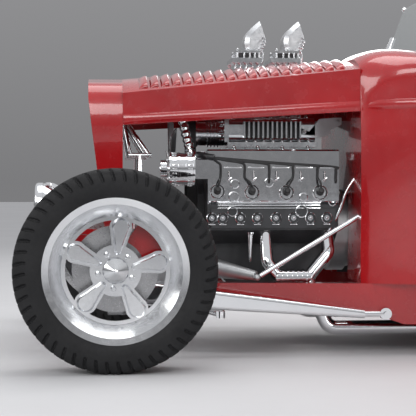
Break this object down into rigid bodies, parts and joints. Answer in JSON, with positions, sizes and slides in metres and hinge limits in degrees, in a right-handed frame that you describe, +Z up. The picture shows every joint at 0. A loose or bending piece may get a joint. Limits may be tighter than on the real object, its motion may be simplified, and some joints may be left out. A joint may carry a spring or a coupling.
{
  "type": "roadster",
  "caption": "Open fenderless roadster with red body, exposed supercharged engine, hood scoops, chrome front axle, steered spoked wheels, opening doors and deck lid.",
  "frame": {"origin": "on the ground, under the middle of the car's length and width", "axes": "the nose points along -X, +Y is the car's right side, +Z is up"},
  "size_m": [3.487, 1.7564, 1.3409],
  "materials": {
    "red_paint": "gloss",
    "chrome": "polished",
    "aluminium": "polished",
    "tyre": "matte",
    "engine_iron": "satin",
    "black": "satin",
    "rubber": "matte",
    "leather": "satin",
    "glass": "clear",
    "lamp_red": "clear"
  },
  "bodies": {
    "chassis": {"air_scoops": "chrome", "alternator": "chrome", "carburettors": "aluminium", "cowl": "red_paint", "cross_members": "red_paint", "cylinder_heads": "aluminium", "dashboard": "black", "drive_belt": "rubber", "engine_block": "engine_iron", "exhaust_headers": "chrome", "exhaust_pipes": "chrome", "floor": "black", "frame_rails": "red_paint", "front_axle": "chrome", "front_spring": "chrome", "fuel_tank": "black", "gearbox": "aluminium", "grille_bars": "chrome", "grille_shell": "red_paint", "headlamps": "chrome", "hood_top": "red_paint", "radiator": "black", "radiator_hose": "rubber", "radiator_stays": "chrome", "rear_axle": "red_paint", "rear_body": "red_paint", "rear_links": "chrome", "rear_struts": "chrome", "seat": "leather", "spreader_bars": "chrome", "steering_box": "engine_iron", "steering_column": "chrome", "supercharger": "aluminium", "tail_lamps": "lamp_red", "windshield_frame": "chrome", "windshield_glass": "glass", "wishbones": "chrome"},
    "knuckle_left": {"knuckle_left": "engine_iron", "caliper_left": "red_paint"},
    "knuckle_right": {"knuckle_right": "engine_iron", "caliper_right": "red_paint"},
    "wheel_front_left": {"wheel_front_left": "aluminium", "tyre_front_left": "tyre", "brake_disc_left": "engine_iron"},
    "wheel_front_right": {"wheel_front_right": "aluminium", "tyre_front_right": "tyre", "brake_disc_right": "engine_iron"},
    "wheel_rear_left": {"wheel_rear_left": "aluminium", "tyre_rear_left": "tyre"},
    "wheel_rear_right": {"wheel_rear_right": "aluminium", "tyre_rear_right": "tyre"},
    "steering_linkage": {"tie_rod": "chrome", "drag_link": "chrome"},
    "pitman_arm": {"pitman_arm": "chrome"},
    "steering_wheel": {"steering_wheel": "leather"},
    "door_left": {"door_left": "red_paint"},
    "door_right": {"door_right": "red_paint"},
    "deck_lid": {"deck_lid": "red_paint"},
    "cooling_fan": {"cooling_fan": "aluminium"}
  },
  "joints": [
    {"name": "steer_left", "type": "hinge", "parent": "chassis", "child": "knuckle_left", "pos_m": [-1.4185, -0.575, 0.325], "axis": [0, 0, 1], "range_deg": [-28, 28]},
    {"name": "steer_right", "type": "hinge", "parent": "chassis", "child": "knuckle_right", "pos_m": [-1.4185, 0.575, 0.325], "axis": [0, 0, 1], "range_deg": [-28, 28]},
    {"name": "linkage_pivot", "type": "hinge", "parent": "knuckle_left", "child": "steering_linkage", "pos_m": [-1.2685, -0.575, 0.158], "axis": [0, 0, 1], "range_deg": [-28, 28]},
    {"name": "pitman_swing", "type": "hinge", "parent": "chassis", "child": "pitman_arm", "pos_m": [-1.1785, -0.18, 0.144], "axis": [0, 0, 1], "range_deg": [-28, 28]},
    {"name": "steering_wheel_turn", "type": "hinge", "parent": "chassis", "child": "steering_wheel", "pos_m": [0.0215, -0.33, 0.82096], "axis": [0.8607, 0, 0.509], "range_deg": [-340, 340]},
    {"name": "spin_front_left", "type": "hinge", "parent": "knuckle_left", "child": "wheel_front_left", "pos_m": [-1.4185, -0.7, 0.325], "axis": [0, 1, 0], "continuous": true},
    {"name": "spin_front_right", "type": "hinge", "parent": "knuckle_right", "child": "wheel_front_right", "pos_m": [-1.4185, 0.7, 0.325], "axis": [0, 1, 0], "continuous": true},
    {"name": "spin_rear_left", "type": "hinge", "parent": "chassis", "child": "wheel_rear_left", "pos_m": [1.2735, -0.75, 0.36], "axis": [0, 1, 0], "continuous": true},
    {"name": "spin_rear_right", "type": "hinge", "parent": "chassis", "child": "wheel_rear_right", "pos_m": [1.2735, 0.75, 0.36], "axis": [0, 1, 0], "continuous": true},
    {"name": "door_left_swing", "type": "hinge", "parent": "chassis", "child": "door_left", "pos_m": [-0.2255, -0.556, 0.67], "axis": [0, 0, -1], "range_deg": [0, 65]},
    {"name": "door_right_swing", "type": "hinge", "parent": "chassis", "child": "door_right", "pos_m": [-0.2255, 0.556, 0.67], "axis": [0, 0, 1], "range_deg": [0, 65]},
    {"name": "deck_lid_lift", "type": "hinge", "parent": "chassis", "child": "deck_lid", "pos_m": [0.9785, 0, 1.034], "axis": [0, -1, 0], "range_deg": [0, 50]},
    {"name": "fan_spin", "type": "hinge", "parent": "chassis", "child": "cooling_fan", "pos_m": [-1.1965, 0, 0.65], "axis": [1, 0, 0], "continuous": true}
  ],
  "couplings": [
    {"joint": "steer_right", "follows": "steer_left", "ratio": 1},
    {"joint": "linkage_pivot", "follows": "steer_left", "ratio": -1},
    {"joint": "pitman_swing", "follows": "steer_left", "ratio": 1},
    {"joint": "steering_wheel_turn", "follows": "steer_left", "ratio": 12}
  ]
}
